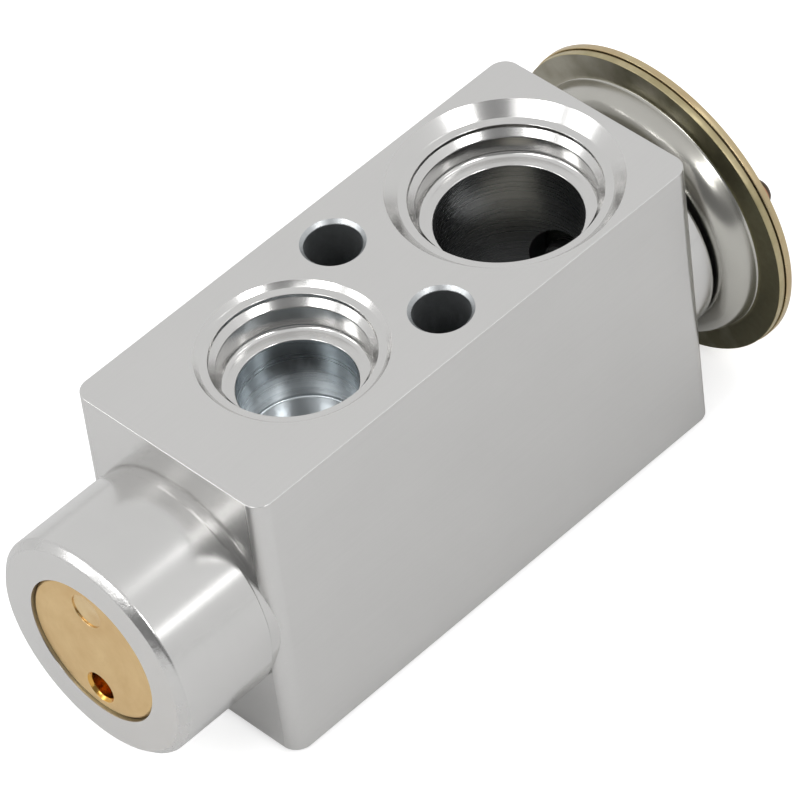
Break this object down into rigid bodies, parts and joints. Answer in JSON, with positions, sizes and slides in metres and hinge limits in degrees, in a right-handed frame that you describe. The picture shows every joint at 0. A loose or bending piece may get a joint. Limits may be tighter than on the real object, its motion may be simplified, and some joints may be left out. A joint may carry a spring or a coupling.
{
  "type": "block expansion valve",
  "caption": "Block-type refrigerant expansion valve: machined aluminium block with suction and liquid ports, bolt holes, a brass adjusting screw in its nose and a diaphragm power head.",
  "frame": {"origin": "midway between the two bolt holes, on the back face", "axes": "+Z out of the port face, along the ports and bolt holes; +X along the valve's axis towards the power head; +Y across the block, from one bolt hole to the other"},
  "size_m": [0.0928, 0.038, 0.038],
  "materials": {
    "block_aluminium": "satin machined",
    "screw_brass": "turned, satin",
    "seal_rubber": "matt black",
    "spring_steel": "drawn",
    "support_steel": "pressed and plated",
    "stainless_steel": "ground",
    "rod_aluminium": "turned",
    "sleeve_nylon": "moulded",
    "washer_plastic": "smooth",
    "cup_steel": "pressed, satin grey",
    "yellow_zinc_steel": "yellow passivated zinc",
    "tube_copper": "drawn copper, dull"
  },
  "bodies": {
    "valve_block": {"valve_body": "block_aluminium", "orifice_ring": "stainless_steel", "rod_seal_ring": "seal_rubber", "rod_seal_washer": "washer_plastic", "rod_seal_retainer": "spring_steel", "lower_cover": "cup_steel", "upper_cover": "yellow_zinc_steel", "head_neck": "stainless_steel", "head_seal_ring": "seal_rubber", "charging_tube": "tube_copper", "diaphragm": "stainless_steel"},
    "valve_stem": {"valve_ball": "stainless_steel", "ball_support": "support_steel", "damper_spring": "spring_steel", "operating_pin": "stainless_steel", "sensing_rod": "rod_aluminium", "rod_sleeve": "sleeve_nylon", "diaphragm_stopper": "rod_aluminium"},
    "screw_carriage": {"screw_seal_ring": "seal_rubber", "bias_spring": "spring_steel"},
    "screw": {"adjusting_screw": "screw_brass"}
  },
  "joints": [
    {"name": "valve_lift", "type": "slide", "parent": "valve_block", "child": "valve_stem", "axis": [-1, 0, 0], "range_m": [0, 0.0008], "stiffness_N_per_m": 2000, "springref_m": -0.002, "deforming": ["bias_spring", "diaphragm"]},
    {"name": "screw_travel", "type": "slide", "parent": "valve_block", "child": "screw_carriage", "axis": [1, 0, 0], "range_m": [-0.0004, 0.001], "deforming": ["bias_spring"]},
    {"name": "screw_turn", "type": "hinge", "parent": "screw_carriage", "child": "screw", "pos_m": [-0.038, 0, 0.0183], "axis": [1, 0, 0], "range_deg": [-144, 360]}
  ],
  "couplings": [
    {"joint": "screw_turn", "follows": "screw_travel", "rad_per_m": 6283.2}
  ]
}
